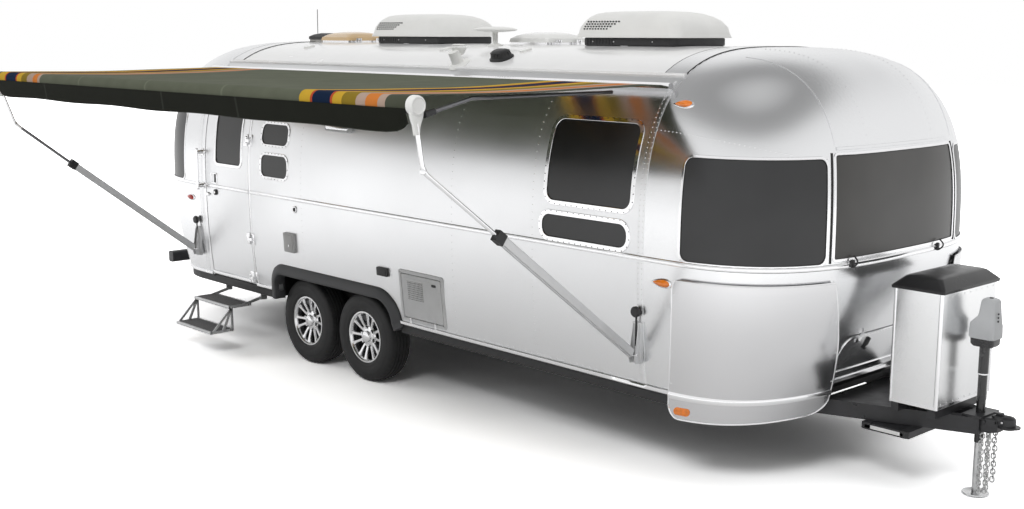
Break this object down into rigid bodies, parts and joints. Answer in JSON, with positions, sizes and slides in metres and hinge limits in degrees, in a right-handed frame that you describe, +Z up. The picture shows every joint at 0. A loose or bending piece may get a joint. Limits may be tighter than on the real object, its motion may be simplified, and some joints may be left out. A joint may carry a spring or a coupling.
{
  "type": "travel caravan",
  "caption": "Round-ended aluminium travel caravan on a twin axle, with an A-frame tongue, roof air conditioners, folding steps and an extended side awning.",
  "frame": {"origin": "on the ground at the middle of the whole object's length and width", "axes": "+X forward to the coupler, +Y to the road side away from the entry door, +Z up"},
  "size_m": [8.233, 4.4009, 2.96],
  "materials": {
    "alloy_skin": "satin",
    "white_paint": "gloss",
    "chassis_black": "satin",
    "floor_board": "matt",
    "window_glass": "polished",
    "black_frame": "satin",
    "bright_trim": "polished",
    "fender_grey": "satin",
    "stone_guard": "polished",
    "lamp_amber": "gloss",
    "tyre_rubber": "matt",
    "wheel_alloy": "polished",
    "axle_steel": "satin",
    "chain_steel": "satin",
    "jack_steel": "gloss",
    "jack_chrome": "polished",
    "box_alloy": "polished",
    "lid_black": "gloss",
    "white_plastic": "satin",
    "vent_amber": "gloss",
    "awning_fabric": "matt",
    "step_alloy": "satin"
  },
  "bodies": {
    "caravan_body": {"curb_wall": "alloy_skin", "road_wall": "alloy_skin", "roof_panel": "alloy_skin", "front_cap_upper": "alloy_skin", "front_cap_lower": "alloy_skin", "rear_cap_upper": "alloy_skin", "rear_cap_lower": "alloy_skin", "floor_pan": "floor_board", "wheel_wells": "floor_board", "window_frames": "bright_trim", "windows": "window_glass", "trim_rails": "bright_trim", "fenders": "fender_grey", "rock_guards": "stone_guard", "marker_lights": "lamp_amber", "side_fittings": "black_frame", "chassis_rails": "chassis_black", "tongue_beams": "chassis_black", "tongue_brackets": "chassis_black", "coupler": "chassis_black", "safety_chains": "chain_steel", "jack_post": "jack_steel", "jack_head": "jack_steel", "jack_leg": "jack_chrome", "tongue_box": "box_alloy", "rear_bumper": "alloy_skin", "axles": "axle_steel", "hinge_mounts": "bright_trim", "grab_handle": "bright_trim", "step_mounts": "step_alloy", "ac_bases": "black_frame", "ac_shrouds": "white_plastic", "vent_frames": "bright_trim", "roof_fittings": "white_plastic", "awning_canopy": "awning_fabric", "awning_arms": "bright_trim"},
    "entry_door": {"entry_door": "alloy_skin", "door_window": "window_glass"},
    "heater_door": {"heater_door": "white_paint"},
    "front_hatch": {"front_hatch": "alloy_skin"},
    "tongue_box_lid": {"tongue_box_lid": "lid_black"},
    "vent_lid_front": {"vent_lid_front": "white_plastic"},
    "vent_lid_rear": {"vent_lid_rear": "vent_amber"},
    "step_links_upper": {"step_links_upper": "step_alloy"},
    "step_tread_upper": {"step_tread_upper": "step_alloy"},
    "step_links_lower": {"step_links_lower": "step_alloy"},
    "step_tread_lower": {"step_tread_lower": "step_alloy"},
    "wheel_curb_front": {"tyre_curb_front": "tyre_rubber", "rim_curb_front": "wheel_alloy"},
    "wheel_curb_rear": {"tyre_curb_rear": "tyre_rubber", "rim_curb_rear": "wheel_alloy"},
    "wheel_road_front": {"tyre_road_front": "tyre_rubber", "rim_road_front": "wheel_alloy"},
    "wheel_road_rear": {"tyre_road_rear": "tyre_rubber", "rim_road_rear": "wheel_alloy"}
  },
  "joints": [
    {"name": "wheel_curb_front_spin", "type": "hinge", "parent": "caravan_body", "child": "wheel_curb_front", "pos_m": [-0.6885, -0.2035, 0.3595], "axis": [0, 1, 0], "continuous": true},
    {"name": "wheel_curb_rear_spin", "type": "hinge", "parent": "caravan_body", "child": "wheel_curb_rear", "pos_m": [-1.4825, -0.2035, 0.3595], "axis": [0, 1, 0], "continuous": true},
    {"name": "wheel_road_front_spin", "type": "hinge", "parent": "caravan_body", "child": "wheel_road_front", "pos_m": [-0.6885, 1.9625, 0.3595], "axis": [0, 1, 0], "continuous": true},
    {"name": "wheel_road_rear_spin", "type": "hinge", "parent": "caravan_body", "child": "wheel_road_rear", "pos_m": [-1.4825, 1.9625, 0.3595], "axis": [0, 1, 0], "continuous": true},
    {"name": "entry_door_hinge", "type": "hinge", "parent": "caravan_body", "child": "entry_door", "pos_m": [-2.1355, -0.4365, 1.4], "axis": [0, 0, 1], "range_deg": [0, 150]},
    {"name": "heater_door_hinge", "type": "hinge", "parent": "caravan_body", "child": "heater_door", "pos_m": [0.167, -0.39, 0.64], "axis": [1, 0, 0], "range_deg": [0, 90]},
    {"name": "front_hatch_hinge", "type": "hinge", "parent": "caravan_body", "child": "front_hatch", "pos_m": [3.22836, 0.8795, 0.931], "axis": [0, -1, 0], "range_deg": [0, 58]},
    {"name": "tongue_box_lid_hinge", "type": "hinge", "parent": "caravan_body", "child": "tongue_box_lid", "pos_m": [3.4195, 0.8795, 1.2405], "axis": [0, -1, 0], "range_deg": [0, 80]},
    {"name": "vent_lid_front_hinge", "type": "hinge", "parent": "caravan_body", "child": "vent_lid_front", "pos_m": [0.3895, 0.8795, 2.683], "axis": [0, 1, 0], "range_deg": [0, 70]},
    {"name": "vent_lid_rear_hinge", "type": "hinge", "parent": "caravan_body", "child": "vent_lid_rear", "pos_m": [-2.1535, 0.8795, 2.683], "axis": [0, 1, 0], "range_deg": [0, 70]},
    {"name": "step_upper_link_hinge", "type": "hinge", "parent": "caravan_body", "child": "step_links_upper", "pos_m": [-2.4455, -0.2965, 0.46], "axis": [1, 0, 0], "range_deg": [0, 150]},
    {"name": "step_upper_tread_hinge", "type": "hinge", "parent": "step_links_upper", "child": "step_tread_upper", "pos_m": [-2.4455, -0.5205, 0.412], "axis": [1, 0, 0], "range_deg": [-150, 0]},
    {"name": "step_lower_link_hinge", "type": "hinge", "parent": "step_tread_upper", "child": "step_links_lower", "pos_m": [-2.4455, -0.6205, 0.412], "axis": [1, 0, 0], "range_deg": [0, 101]},
    {"name": "step_lower_tread_hinge", "type": "hinge", "parent": "step_links_lower", "child": "step_tread_lower", "pos_m": [-2.4455, -0.7105, 0.217], "axis": [1, 0, 0], "range_deg": [-101, 0]}
  ],
  "couplings": [
    {"joint": "step_upper_tread_hinge", "follows": "step_upper_link_hinge", "ratio": -1},
    {"joint": "step_lower_link_hinge", "follows": "step_upper_link_hinge", "ratio": 0.66667},
    {"joint": "step_lower_tread_hinge", "follows": "step_upper_link_hinge", "ratio": -0.66667}
  ]
}
